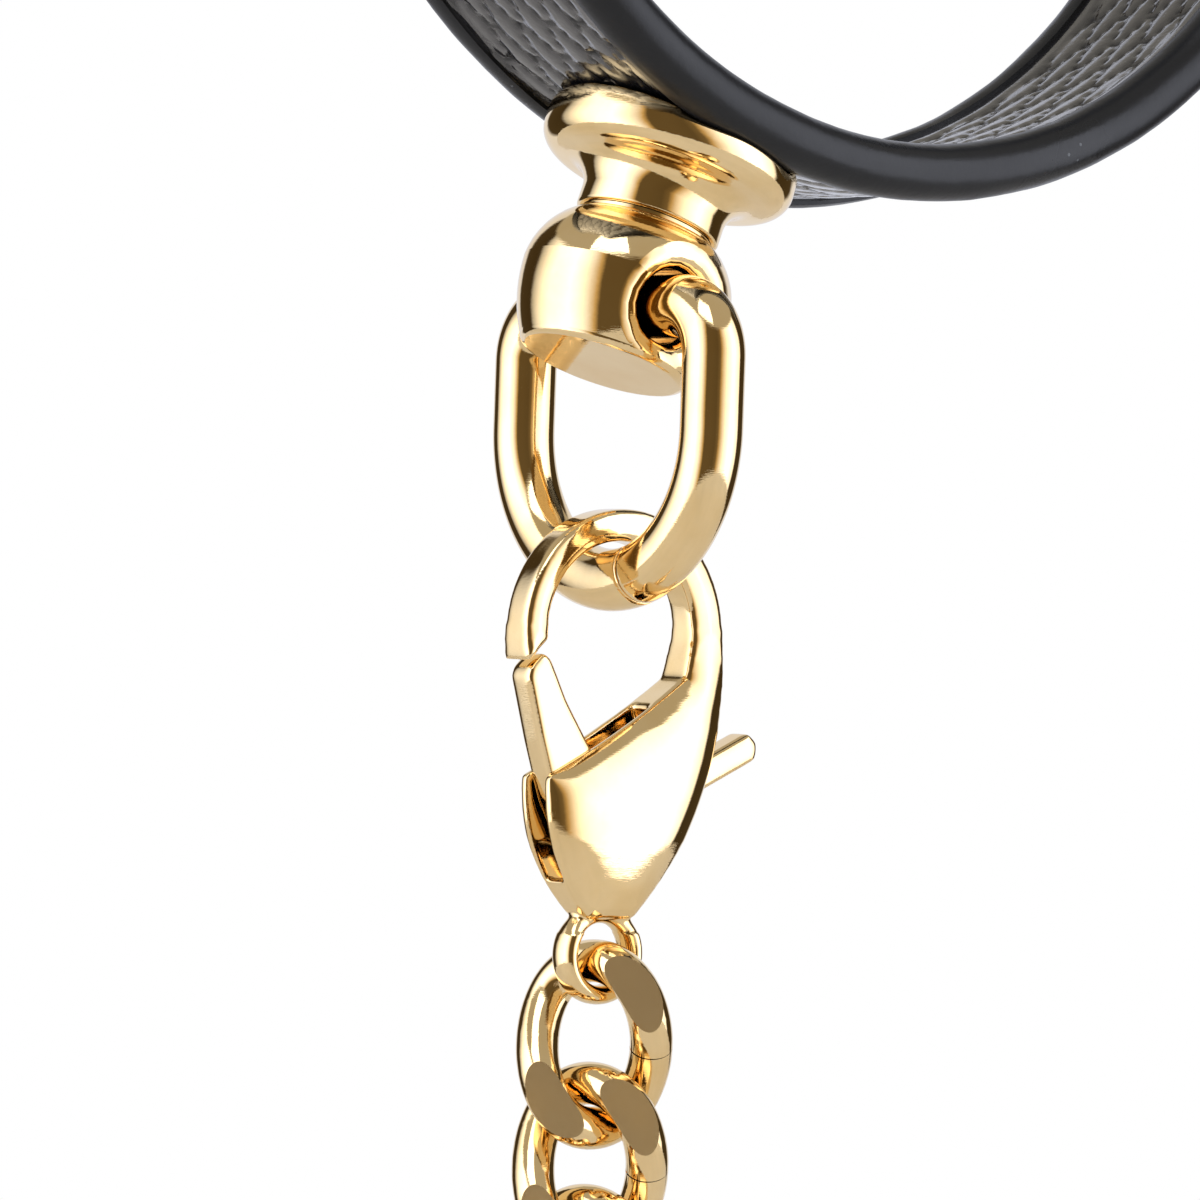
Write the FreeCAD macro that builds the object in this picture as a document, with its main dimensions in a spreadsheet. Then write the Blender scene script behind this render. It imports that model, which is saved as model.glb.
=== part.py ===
"""Wristlet keychain: a leather wrist loop, a swivel stud, a ring, a lobster clasp and a curb chain.

The origin is the centre of the wrist loop. The loop's axis is Y, +Z is up and the chain hangs
towards -Z. Everything under the stud hangs plumb from the bar of the ring.
"""
import FreeCAD, Part
import math
import os
import Sketcher
from FreeCAD import Placement, Rotation, Vector

UP = Vector(0, 0, 1)
ALONG = Vector(0, 1, 0)
ACROSS = Vector(1, 0, 0)
THROUGH = 40.0  # a cutter this long passes right through any of the pieces

DIMENSIONS = {
    # wrist loop
    "lining_inner": 33.2,
    "lining_thick": 0.6,
    "core_thick": 1.1,
    "leather_thick": 0.9,
    "strap_half": 5.9,
    "bead_centre": 6.6,
    "bead_ring": 34.5,
    "bead_wire": 1.7,
    # stud under the loop, heights are distances from the loop's axis
    "stud_angle": 20.0,
    "flange_radius": 7.6,
    "flange_top": 34.4,
    "flange_edge": 36.9,
    "flange_under": 38.0,
    "neck_radius": 4.3,
    "neck_top": 39.9,
    "neck_foot": 41.0,
    "cavity_radius": 3.2,
    "cavity_floor": 38.7,
    "stem_radius": 1.5,
    "stem_gap": 0.05,
    "stem_foot": 43.0,
    "rivet_head": 2.7,
    "washer_thick": 0.3,
    "barrel_top": 41.34,
    "barrel_widest": 44.9,
    "barrel_radius": 6.25,
    "barrel_low": 49.3,
    "barrel_foot": 49.7,
    "bore_radius": 2.15,
    "bore_height": 46.1,
    "plate_thick": 0.5,
    "plate_half": 4.2,
    "plate_sweep": 25.0,
    "screw_offset": 5.35,
    "screw_radius": 0.7,
    "screw_head": 1.2,
    # ring
    "ring_wire": 1.82,
    "ring_half": 8.8,
    "ring_corner": 3.0,
    "ring_height": 15.8,
    # clasp, measured from the ring's lower wire
    "clasp_thick": 4.4,
    "hook_tip_thick": 2.6,
    "slot_thick": 2.4,
    "lever_thick": 2.0,
    "lever_pin": 0.6,
    "pin_gap": 0.05,
    "eye_drop": 21.7,
    "eye_inner": 1.8,
    "eye_wall": 0.575,
    "eye_thick": 1.0,
    # chain
    "link_wire": 1.25,
    "link_half_width": 3.3,
    "link_half_length": 4.85,
    "link_twist": 1.5,
    "link_slab": 2.0,
    "link_pitch": 7.1,
    "chain_yaw": -38.0,
    "links": 8.0,
    # key ring
    "key_ring_radius": 12.0,
    "key_ring_wire": 0.75,
    "key_ring_pitch": 1.55,
}

doc = FreeCAD.newDocument("wristlet_keychain")
sheet = doc.addObject("Spreadsheet::Sheet", "Sizes")
for row, (alias, number) in enumerate(DIMENSIONS.items(), start=1):
    sheet.set(f"A{row}", alias)
    sheet.set(f"B{row}", str(number))
    sheet.setAlias(f"B{row}", alias)
doc.recompute()


class Size:
    """A size as the expression that the document keeps, with the number it comes to."""

    def __init__(self, text, number):
        self.text = text
        self.number = number

    def __add__(self, other):
        other = as_size(other)
        return Size(f"({self.text} + {other.text})", self.number + other.number)

    def __sub__(self, other):
        other = as_size(other)
        return Size(f"({self.text} - {other.text})", self.number - other.number)

    def __mul__(self, other):
        other = as_size(other)
        return Size(f"({self.text} * {other.text})", self.number * other.number)

    def __neg__(self):
        return Size(f"(0 - {self.text})", -self.number)


def as_size(value):
    return value if isinstance(value, Size) else Size(repr(float(value)), float(value))


def dim(alias):
    """The driving dimension with this name, as the sheet holds it."""
    return Size(f"Sizes.{alias}", float(sheet.get(alias)))


def mm(alias):
    return float(sheet.get(alias))


def bind(thing, **sizes):
    for name, size in sizes.items():
        thing.setExpression(name, as_size(size).text)


# ---------------------------------------------------------------- bodies drawn from sketches

def origin_plane(body, role):
    return next(f for f in body.Origin.OriginFeatures if f.Role == role)


def new_body(label):
    body = doc.addObject("PartDesign::Body", label)
    body.Label = label
    return body


def new_sketch(body, name, role):
    sketch = body.newObject("Sketcher::SketchObject", f"{body.Label}_{name}")
    sketch.AttachmentSupport = [(origin_plane(body, role), "")]
    sketch.MapMode = "FlatFace"
    return sketch


def pin_corner(sketch, geometry, end, x, y):
    """Hold one end of a line or arc at a place from the sketch's origin."""
    for kind, size in (("DistanceX", as_size(x)), ("DistanceY", as_size(y))):
        held = Sketcher.Constraint(kind, -1, 1, geometry, end, size.number)
        sketch.setExpression(f"Constraints[{sketch.addConstraint(held)}]", size.text)


def draw_outline(sketch, corners, arcs=None):
    """A closed outline through corners bound to the sheet.

    arcs gives, for the corner that a round stretch starts from, its radius and a point on the side
    that it bulges to.
    """
    arcs = arcs or {}
    first = len(sketch.Geometry)
    points = [Vector(as_size(x).number, as_size(y).number, 0) for x, y in corners]
    for index, start in enumerate(points):
        end = points[(index + 1) % len(points)]
        if index not in arcs:
            sketch.addGeometry(Part.LineSegment(start, end))
            continue
        radius, near = as_size(arcs[index][0]), Vector(*arcs[index][1], 0)
        middle, half = (start + end) * 0.5, start.distanceToPoint(end) / 2
        side = Vector(end.y - start.y, start.x - end.x, 0).normalize()
        if side.dot(near - middle) < 0:
            side = -side
        rise = radius.number - math.sqrt(radius.number**2 - half**2)
        geometry = sketch.addGeometry(Part.Arc(start, middle + side * rise, end))
        round_size = Sketcher.Constraint("Radius", geometry, radius.number)
        sketch.setExpression(f"Constraints[{sketch.addConstraint(round_size)}]", radius.text)
    placed = {}
    for geometry in range(first, len(sketch.Geometry)):
        for end in (1, 2):
            here = sketch.getPoint(geometry, end)
            corner = min(range(len(points)), key=lambda k: here.distanceToPoint(points[k]))
            if corner in placed:
                sketch.addConstraint(Sketcher.Constraint("Coincident", geometry, end, *placed[corner]))
            else:
                placed[corner] = (geometry, end)
                pin_corner(sketch, geometry, end, *corners[corner])


def draw_circle(sketch, x, y, radius):
    x, y, radius = as_size(x), as_size(y), as_size(radius)
    circle = Part.Circle(Vector(x.number, y.number, 0), Vector(0, 0, 1), radius.number)
    geometry = sketch.addGeometry(circle)
    pin_corner(sketch, geometry, 3, x, y)
    held = Sketcher.Constraint("Radius", geometry, radius.number)
    sketch.setExpression(f"Constraints[{sketch.addConstraint(held)}]", radius.text)


def turn(body, sketch, angle=360.0, midplane=False):
    """Revolve a sketch about its own vertical axis."""
    feature = body.newObject("PartDesign::Revolution", f"{sketch.Name}_turned")
    feature.Profile = sketch
    feature.ReferenceAxis = (sketch, ["V_Axis"])
    feature.Midplane = midplane
    bind(feature, Angle=angle)
    return feature


def cross_cut(body, sketch, depth, midplane=True):
    """Pocket a sketch right through the body, both ways from the sketch's plane."""
    feature = body.newObject("PartDesign::Pocket", f"{sketch.Name}_cut")
    feature.Profile = sketch
    feature.Midplane = midplane
    bind(feature, Length=depth)
    return feature


def stud_frame():
    """The stud's own frame: its axis leaves the loop's centre at the stud's angle from plumb."""
    return Placement(Vector(), Rotation(ALONG, mm("stud_angle")))


def cut_from(label, base, tools):
    """base with tools taken out of it, under the sub-part's own name."""
    tool = tools[0]
    if len(tools) > 1:
        tool = doc.addObject("Part::MultiFuse", f"{label}_tools")
        tool.Shapes = tools
    cut = doc.addObject("Part::Cut", label)
    cut.Base = base
    cut.Tool = tool
    cut.Label = label
    return cut


def drum(name, radius, height, place):
    cylinder = doc.addObject("Part::Cylinder", name)
    bind(cylinder, Radius=radius, Height=height)
    cylinder.Placement = place
    return cylinder


# ---------------------------------------------------------------- wrist loop

def band_layer(label, inner, outer):
    body = new_body(label)
    sketch = new_sketch(body, "section", "XY_Plane")
    edge = dim("strap_half")
    draw_outline(sketch, [(inner, -edge), (outer, -edge), (outer, edge), (inner, edge)])
    turn(body, sketch)
    return body


def edge_binding(label, side):
    """The thick painted edge: a round bead with a flat back against the layers."""
    body = new_body(label)
    sketch = new_sketch(body, "section", "XY_Plane")
    ring, flat = mm("bead_ring"), mm("strap_half")
    rise = math.sqrt(mm("bead_wire")**2 - (mm("bead_centre") - flat)**2)
    reach = "sqrt(Sizes.bead_wire ^ 2 - (Sizes.bead_centre - Sizes.strap_half) ^ 2)"
    half = Size(reach, rise)
    tip = dim("bead_centre") + dim("bead_wire")
    sign = as_size(side)
    foot = dim("strap_half") * sign
    corners = [
        (dim("bead_ring") - half, foot),
        (dim("bead_ring"), tip * sign),
        (dim("bead_ring") + half, foot),
    ]
    outwards = side * mm("bead_centre") * 2
    arcs = {
        0: (dim("bead_wire"), (ring - 5.0, outwards)),
        1: (dim("bead_wire"), (ring + 5.0, outwards)),
    }
    draw_outline(sketch, corners, arcs)
    turn(body, sketch)
    return body


lining_outer = dim("lining_inner") + dim("lining_thick")
core_outer = lining_outer + dim("core_thick")
leather_outer = core_outer + dim("leather_thick")

lining = band_layer("lining_leather", dim("lining_inner"), lining_outer)
core_blank = band_layer("core_blank", lining_outer, core_outer)
leather_blank = band_layer("leather_blank", core_outer, leather_outer)
front_binding = edge_binding("front_edge_binding", -1)
rear_binding = edge_binding("rear_edge_binding", 1)


# ---------------------------------------------------------------- screws and plate inside the loop

def screws_at(name, radius, top, foot):
    """A pair of plain rods on the stud's frame, at the screws' places."""
    rods = []
    for side in (-1, 1):
        spot = Placement(Vector(side * mm("screw_offset"), 0, -foot), Rotation())
        rods.append(drum(f"{name}_{side + 1}", radius, foot - top, stud_frame() * spot))
    return rods


SCREW_SEAT = 33.6
SCREW_NECK = 33.95
SCREW_TIP = 37.1
SCREW_ACCESS = 0.9  # how far the heads' clearance runs on towards the middle of the loop
shanks = screws_at("screw_shank", dim("screw_radius"), SCREW_NECK, SCREW_TIP)
heads = screws_at("screw_cap", dim("screw_head"), SCREW_SEAT, SCREW_NECK)
access = screws_at("screw_access", dim("screw_head"), SCREW_SEAT - SCREW_ACCESS, SCREW_NECK)
screws = doc.addObject("Part::MultiFuse", "fixing_screws")
screws.Shapes = shanks + heads
screws.Label = "fixing_screws"

plate_blank = new_body("plate_blank")
plate_section = new_sketch(plate_blank, "section", "XY_Plane")
plate_side = dim("plate_half")
plate_outer = lining_outer + dim("plate_thick")
draw_outline(plate_section, [(lining_outer, -plate_side), (plate_outer, -plate_side),
                             (plate_outer, plate_side), (lining_outer, plate_side)])
turn(plate_blank, plate_section, dim("plate_sweep"), midplane=True)
plate_blank.Placement = Placement(Vector(), Rotation(ALONG, 90 + mm("stud_angle")))
backing_plate = cut_from("backing_plate", plate_blank, access + shanks)
band_core = cut_from("band_core", core_blank, [plate_blank] + access + shanks)
outer_leather = cut_from("outer_leather", leather_blank, shanks)

# ---------------------------------------------------------------- stud base

base_blank = new_body("base_blank")
base_section = new_sketch(base_blank, "section", "XZ_Plane")
bore = dim("stem_radius") + dim("stem_gap")
draw_outline(
    base_section,
    [
        (dim("cavity_radius"), -dim("flange_top")),
        (dim("flange_radius"), -dim("flange_top")),
        (dim("flange_radius"), -dim("flange_edge")),
        (dim("flange_radius") - 1.1, -dim("flange_under")),
        (dim("neck_radius"), -dim("neck_top")),
        (dim("neck_radius"), -dim("neck_foot")),
        (bore, -dim("neck_foot")),
        (bore, -dim("cavity_floor")),
        (dim("cavity_radius"), -dim("cavity_floor")),
    ],
    {2: (1.15, (9.0, -39.0)), 3: (2.6, (4.5, -37.5))},
)
turn(base_blank, base_section)
base_blank.Placement = stud_frame()
saddle = drum("saddle", leather_outer, THROUGH,
              Placement(ALONG * (-THROUGH / 2), Rotation(ACROSS, -90)))
bead_seats = []
for side in (-1, 1):
    seat = doc.addObject("Part::Torus", f"bead_seat_{side + 1}")
    bind(seat, Radius1=dim("bead_ring"), Radius2=dim("bead_wire"))
    seat.Placement = Placement(Vector(0, side * mm("bead_centre"), 0), Rotation(ACROSS, 90))
    bead_seats.append(seat)
stud_base = cut_from("stud_base", base_blank, [saddle] + bead_seats + shanks)

# ---------------------------------------------------------------- swivel

rivet = new_body("swivel_rivet")
rivet_section = new_sketch(rivet, "section", "XZ_Plane")
RUNNING_GAP, HEAD_TALL, HEAD_BEVEL = 0.04, 1.3, 0.6
head_foot = dim("cavity_floor") - RUNNING_GAP
head_top, bevel_foot = head_foot - HEAD_TALL, head_foot - (HEAD_TALL - HEAD_BEVEL)
draw_outline(rivet_section, [
    (0, -head_top), (dim("rivet_head") - HEAD_BEVEL, -head_top),
    (dim("rivet_head"), -bevel_foot), (dim("rivet_head"), -head_foot),
    (dim("stem_radius"), -head_foot), (dim("stem_radius"), -dim("stem_foot")),
    (0, -dim("stem_foot")),
])
turn(rivet, rivet_section)
rivet.Placement = stud_frame()

washer = new_body("swivel_washer")
washer_section = new_sketch(washer, "section", "XZ_Plane")
washer_foot = dim("barrel_top")
WASHER_INSET = 0.35
draw_outline(washer_section, [
    (dim("stem_radius"), -(washer_foot - dim("washer_thick"))),
    (dim("neck_radius") - WASHER_INSET, -(washer_foot - dim("washer_thick"))),
    (dim("neck_radius") - WASHER_INSET, -washer_foot),
    (dim("stem_radius"), -washer_foot),
])
turn(washer, washer_section)
washer.Placement = stud_frame()

barrel = new_body("swivel_barrel")
barrel_section = new_sketch(barrel, "section", "XZ_Plane")
draw_outline(
    barrel_section,
    [
        (0, -dim("stem_foot")),
        (dim("stem_radius"), -dim("stem_foot")),
        (dim("stem_radius"), -dim("barrel_top")),
        (dim("neck_radius"), -dim("barrel_top")),
        (dim("barrel_radius"), -dim("barrel_widest")),
        (dim("barrel_radius") - 1.15, -dim("barrel_low")),
        (dim("barrel_radius") - 1.6, -dim("barrel_foot")),
        (0, -dim("barrel_foot")),
    ],
    {3: (4.6, (8.0, -41.0)), 4: (9.5, (9.0, -47.5)), 5: (0.5, (6.0, -50.5))},
)
turn(barrel, barrel_section)
bore_sketch = new_sketch(barrel, "cross_hole", "XZ_Plane")
draw_circle(bore_sketch, 0, -dim("bore_height"), dim("bore_radius"))
bored = cross_cut(barrel, bore_sketch, THROUGH)
doc.recompute()
mouths = barrel.newObject("PartDesign::Fillet", "cross_hole_mouths")
hole_edges = [f"Edge{number}" for number, edge in enumerate(bored.Shape.Edges, start=1)
              if edge.Curve.TypeId == "Part::GeomBSplineCurve"]
mouths.Base = (bored, hole_edges)
bind(mouths, Radius=1.0)
barrel.Placement = stud_frame()

# ---------------------------------------------------------------- ring

HANG = stud_frame().multVec(Vector(0, 0, -mm("bore_height")))
LOWER = HANG - UP * mm("ring_height")


def bend(name, radius, sweep, centre, first_x, first_y):
    """Part of a torus: first_x points to where it starts and first_y to where it bends on to."""
    torus = doc.addObject("Part::Torus", name)
    bind(torus, Radius1=radius, Radius2=dim("ring_wire"), Angle3=sweep)
    torus.Placement = Placement(centre, Rotation(first_x, first_y, Vector(), "XYZ"))
    return torus


def ring_rod(name, start, end, length):
    return drum(name, dim("ring_wire"), length, Placement(start, Rotation(UP, end - start)))


half, corner = mm("ring_half"), mm("ring_corner")
straight = dim("ring_half") - dim("ring_corner")
leg_length = dim("ring_height") - dim("ring_corner") - dim("ring_half")
top_left = HANG - ALONG * (half - corner)
pieces = [ring_rod("ring_bar", top_left, HANG + ALONG * (half - corner), straight * as_size(2))]
for side in (-1, 1):
    out = ALONG * side
    knee = HANG + out * (half - corner) - UP * corner
    pieces.append(bend(f"ring_knee_{side + 1}", dim("ring_corner"), 90.0, knee, out, UP))
    leg_top = knee + out * corner
    leg_foot = leg_top - UP * leg_length.number
    pieces.append(ring_rod(f"ring_leg_{side + 1}", leg_foot, leg_top, leg_length))
belly = HANG - UP * (corner + leg_length.number)
pieces.append(bend("ring_belly", dim("ring_half"), 180.0, belly, ALONG, -UP))
d_ring = doc.addObject("Part::MultiFuse", "d_ring")
d_ring.Shapes = pieces
d_ring.Refine = True
d_ring.Label = "d_ring"

# ---------------------------------------------------------------- lobster clasp


def at_clasp(across, up, along=0.0):
    """A place on the clasp from the centre of the ring's lower wire."""
    return LOWER + Vector(across, along, up)


def arc3(start, middle, end):
    return Part.Arc(at_clasp(*start), at_clasp(*middle), at_clasp(*end)).toShape()


def run(start, end):
    return Part.LineSegment(at_clasp(*start), at_clasp(*end)).toShape()


def plate_of(edges, thick):
    """A flat piece with this outline, centred on the clasp's middle plane."""
    face = Part.Face(Part.Wire(Part.__sortEdges__(edges)))
    face.translate(ALONG * (-thick / 2))
    return face.extrude(ALONG * thick)


def feature(label, shape):
    thing = doc.addObject("Part::Feature", label)
    thing.Shape = shape
    thing.Label = label
    return thing


PIN = (-1.0, -14.0)
TIP_OUT, TIP_IN = (-6.6, -4.9), (-5.1, -3.5)
SPINE_TOP, SPINE_FOOT = (7.75, -3.6), (1.9, -19.6)
SHELL_FOOT, SHELL_TOP = (-1.5, -19.6), (-5.0, -11.4)
THROAT_END, INNER_END = (4.9, -5.6), (5.4, -3.3)

outline = [
    arc3(TIP_OUT, (0.55, 4.15), SPINE_TOP),
    arc3(SPINE_TOP, (6.75, -11.3), SPINE_FOOT),
    run(SPINE_FOOT, SHELL_FOOT),
    arc3(SHELL_FOOT, (-4.3, -15.6), SHELL_TOP),
    arc3(SHELL_TOP, (0.8, -8.3), THROAT_END),
    run(THROAT_END, INNER_END),
    arc3(INNER_END, (0.15, 2.25), TIP_IN),
    run(TIP_IN, TIP_OUT),
]
blank = plate_of(outline, mm("clasp_thick"))

full, tip = mm("clasp_thick") / 2, mm("hook_tip_thick") / 2
side_points = [(-tip, 6), (tip, 6), (tip, -2.5), (full, -8.5), (full, -15.0), (1.3, -20.5),
               (-1.3, -20.5), (-full, -15.0), (-full, -8.5), (-tip, -2.5)]
side_corners = [at_clasp(-THROUGH / 2, up, along) for along, up in side_points]
side_view = Part.Face(Part.makePolygon(side_corners + side_corners[:1])).extrude(ACROSS * THROUGH)
casting = blank.common(side_view)

eye_mid = mm("eye_inner") + mm("eye_wall")
rim = Part.Ellipse(Vector(), mm("eye_thick"), mm("eye_wall")).toShape()
rim = Part.Face(Part.Wire([rim]))
rim.Placement = Placement(at_clasp(eye_mid, -mm("eye_drop")), Rotation(ALONG, ACROSS, Vector(), "XYZ"))
eye_centre = at_clasp(0.0, -mm("eye_drop"))
eye = rim.revolve(eye_centre, ALONG, 360)
if eye.Volume < 0:
    eye.reverse()
hole_start = eye_centre - ALONG * (THROUGH / 2)
EYE_BITE = 0.3  # how far the rim grows into the foot of the casting
wide_hole = Part.makeCylinder(mm("eye_inner") + EYE_BITE, THROUGH, hole_start, ALONG)
eye_hole = Part.makeCylinder(mm("eye_inner"), THROUGH, hole_start, ALONG)

slot_points = [(-8.0, -7.6), (-8.0, -16.2), (-2.6, -17.6), (1.4, -17.6), (3.2, -16.3),
               (8.6, -16.3), (8.6, -8.6), (5.2, -8.9), (3.2, -8.4), (2.4, -7.2), (-4.0, -7.6)]
slot_corners = [at_clasp(a, u, -mm("slot_thick") / 2) for a, u in slot_points]
slot = Part.Face(Part.makePolygon(slot_corners + slot_corners[:1]))
slot = slot.extrude(ALONG * mm("slot_thick"))
pin_rod = Part.makeCylinder(mm("lever_pin"), mm("clasp_thick"), at_clasp(*PIN, -full), ALONG)

clasp_shape = casting.cut(wide_hole).cut(slot).cut(pin_rod).fuse(eye).cut(eye_hole)
clasp_body = feature("clasp_body", clasp_shape)
gate_pin = feature("gate_pin", pin_rod)

# ---------------------------------------------------------------- lever and its spring

lever_points = [(-6.4, -5.7), (-6.25, -5.15), (-5.35, -4.25), (-4.75, -4.6), (-3.5, -7.0),
                (-1.6, -9.8), (1.2, -10.9), (5.4, -10.9), (10.1, -8.7), (10.8, -9.3),
                (10.7, -10.3), (6.0, -12.5), (2.2, -13.6), (1.0, -15.5), (-1.0, -16.0),
                (-2.9, -15.1), (-4.2, -12.8), (-5.3, -9.5)]
lever_corners = [at_clasp(a, u, -mm("lever_thick") / 2) for a, u in lever_points]
lever_face = Part.Face(Part.makePolygon(lever_corners + lever_corners[:1]))
lever_shape = lever_face.extrude(ALONG * mm("lever_thick"))
lever_hole = Part.makeCylinder(mm("lever_pin") + mm("pin_gap"), mm("clasp_thick"),
                               at_clasp(*PIN, -full), ALONG)
gate_lever = feature("gate_lever", lever_shape.cut(lever_hole))

spring_wire = 0.2
spring_route = [(-2.2, -17.1), (1.2, -17.1), (3.6, -13.7)]
spring_shape = None
for start, end in zip(spring_route, spring_route[1:]):
    here, there = at_clasp(*start), at_clasp(*end)
    rod = Part.makeCylinder(spring_wire, here.distanceToPoint(there), here, there - here)
    spring_shape = rod if spring_shape is None else spring_shape.fuse(rod)
    spring_shape = spring_shape.fuse(Part.makeSphere(spring_wire, there))
gate_spring = feature("gate_spring", spring_shape.removeSplitter())

# ---------------------------------------------------------------- curb chain

LINK_STEPS = 16
BUTT_GAP = 0.001


def link_point(turn_share):
    """The middle of the wire: an oval whose ends are twisted opposite ways."""
    angle = 2 * math.pi * turn_share
    return Vector(mm("link_half_width") * math.cos(angle),
                  -mm("link_twist") * math.sin(2 * angle),
                  mm("link_half_length") * math.sin(angle))


def curb_link():
    """Round wire bent round the twisted oval to a butt joint, then planed flat on both faces."""
    shares = [BUTT_GAP + (1 - 2 * BUTT_GAP) * step / LINK_STEPS for step in range(LINK_STEPS + 1)]
    path = Part.BSplineCurve()
    path.interpolate(Points=[link_point(share) for share in shares])
    spine = path.toShape()
    section = Part.Circle(path.StartPoint, spine.tangentAt(spine.FirstParameter), mm("link_wire"))
    wire = Part.Wire([spine]).makePipeShell([Part.Wire([section.toShape()])], True, False)
    corner = Vector(-THROUGH / 2, 0, -THROUGH / 2)
    for face in (-mm("link_slab") - THROUGH, mm("link_slab")):
        wire = wire.cut(Part.makeBox(THROUGH, THROUGH, THROUGH, corner + ALONG * face))
    return wire


link_shape = curb_link()
CHAIN_TURN = Rotation(UP, mm("chain_yaw"))
LINK_RISE = 0.4  # the first link's top stands this far below the eye's centre
chain_top = LOWER - UP * (mm("eye_drop") + LINK_RISE)
link_centres = []
for number in range(int(mm("links"))):
    drop = mm("link_half_length") + number * mm("link_pitch")
    link_centres.append(chain_top - UP * drop)
    link = feature(f"chain_link_{number + 1:02d}", link_shape)
    link.Placement = Placement(link_centres[-1], CHAIN_TURN)

# ---------------------------------------------------------------- key ring

twist_slope = math.degrees(math.atan2(2 * mm("link_twist"), mm("link_half_width")))
KEY_GAP = 0.35
key_top = link_centres[-1] - UP * (mm("link_half_length") - mm("link_wire") - KEY_GAP)
key_centre = key_top - UP * (mm("key_ring_radius") - mm("key_ring_wire"))
key_turn = CHAIN_TURN * Rotation(UP, twist_slope)
COIL_TURNS = 1.93
coil_rise = COIL_TURNS * mm("key_ring_pitch")
coil = Part.makeHelix(mm("key_ring_pitch"), coil_rise, mm("key_ring_radius"))
coil_start = Vector(mm("key_ring_radius"), 0, 0)
coil_section = Part.Wire([Part.Circle(coil_start, ALONG, mm("key_ring_wire")).toShape()])
coil_shape = Part.Wire(coil.Edges).makePipeShell([coil_section], True, True)
key_ring = feature("key_ring", coil_shape)
upright = Rotation(UP, ACROSS)
centring = Placement(UP * -mm("key_ring_pitch"), Rotation())
key_ring.Placement = Placement(key_centre, key_turn * upright) * centring

# ---------------------------------------------------------------- recompute, test and write

SUB_PARTS = [lining, band_core, outer_leather, front_binding, rear_binding, backing_plate, screws,
             stud_base, rivet, washer, barrel, d_ring, clasp_body, gate_pin, gate_spring, gate_lever,
             key_ring]
SUB_PARTS += [thing for thing in doc.Objects if thing.Label.startswith("chain_link_")]


def write_parts():
    doc.recompute()
    for thing in doc.Objects:
        if "Invalid" in thing.State or "Error" in thing.State:
            raise RuntimeError(f"{thing.Label} is {thing.State}")
    os.makedirs("parts", exist_ok=True)
    for thing in SUB_PARTS:
        if thing.Shape.isNull() or not thing.Shape.isValid():
            raise RuntimeError(f"{thing.Label} has no valid shape")
        thing.Shape.exportStep(f"parts/{thing.Label}.step")
        box = thing.Shape.BoundBox
        print(f"{thing.Label}: {len(thing.Shape.Solids)} solid(s), {thing.Shape.Volume:.2f} mm3,"
              f" z {box.ZMin:.1f} to {box.ZMax:.1f}")


write_parts()
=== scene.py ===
import bmesh
import bpy
import math
from mathutils import Matrix, Quaternion, Vector, noise
from mathutils.bvhtree import BVHTree


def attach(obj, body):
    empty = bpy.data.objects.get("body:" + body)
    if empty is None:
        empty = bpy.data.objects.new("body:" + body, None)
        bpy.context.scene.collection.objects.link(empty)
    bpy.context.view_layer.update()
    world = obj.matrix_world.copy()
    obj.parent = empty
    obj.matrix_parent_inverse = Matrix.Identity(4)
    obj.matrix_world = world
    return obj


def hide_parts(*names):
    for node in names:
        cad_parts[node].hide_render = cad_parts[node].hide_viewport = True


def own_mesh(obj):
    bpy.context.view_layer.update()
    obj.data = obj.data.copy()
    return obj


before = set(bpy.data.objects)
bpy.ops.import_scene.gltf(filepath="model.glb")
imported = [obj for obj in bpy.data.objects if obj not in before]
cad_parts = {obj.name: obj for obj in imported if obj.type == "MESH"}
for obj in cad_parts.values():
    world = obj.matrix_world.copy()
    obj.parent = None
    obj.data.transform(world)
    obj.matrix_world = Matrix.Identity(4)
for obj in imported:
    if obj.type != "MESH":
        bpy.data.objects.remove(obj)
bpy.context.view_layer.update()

# ---------------------------------------------------------------- outer leather and lining
# Two strips of calf, patent finished and plate-embossed with long overlapping scales. They are
# glued to the two sides of the stiffener, and their cut sides end under the painted edge.

MM = 0.001
MERGE = 0.0005 * MM  # points nearer than this are one point
LEATHER_OUTSIDE, LEATHER_INSIDE = 35.8, 34.9
LINING_INSIDE, LINING_OUTSIDE = 33.2, 33.8
STRAP_HALF = 5.9
SCALE_COUNT = 42  # scales in one row, all the way round the loop
SCALE_WIDE = 2.6
SCALE_RELIEF = 0.55
PRESS_FADE = 0.5  # the pressing fades out over this much at the border of the strip
SCALE_REACH, SCALE_SPREAD, SCALE_TILT = 0.66, 0.46, 0.17
MEETING_WIDE, MEETING_DEEP = 0.16, 0.22
AROUND_STEPS = 900
ACROSS_STEPS = 44


def node_group(name, inputs, outputs):
    """An empty shader group with its sockets, and its own input and output nodes."""
    group = bpy.data.node_groups.new(name, "ShaderNodeTree")
    for label, kind, value in inputs:
        socket = group.interface.new_socket(name=label, in_out="INPUT", socket_type=kind)
        socket.default_value = value
    for label, kind in outputs:
        group.interface.new_socket(name=label, in_out="OUTPUT", socket_type=kind)
    return group, group.nodes.new("NodeGroupInput"), group.nodes.new("NodeGroupOutput")


def add_node(tree, kind, settings=None, **inputs):
    """A node with its settings made, and each input either given a value or joined to a socket."""
    node = tree.nodes.new(kind)
    for name, value in (settings or {}).items():
        setattr(node, name, value)
    for name, value in inputs.items():
        label = name.replace("_", " ")
        numbered = label[0] == "n" and label[1:].isdigit()
        socket = node.inputs[int(label[1:]) if numbered else label]
        if isinstance(value, bpy.types.NodeSocket):
            tree.links.new(value, socket)
        else:
            socket.default_value = value
    return node


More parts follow.
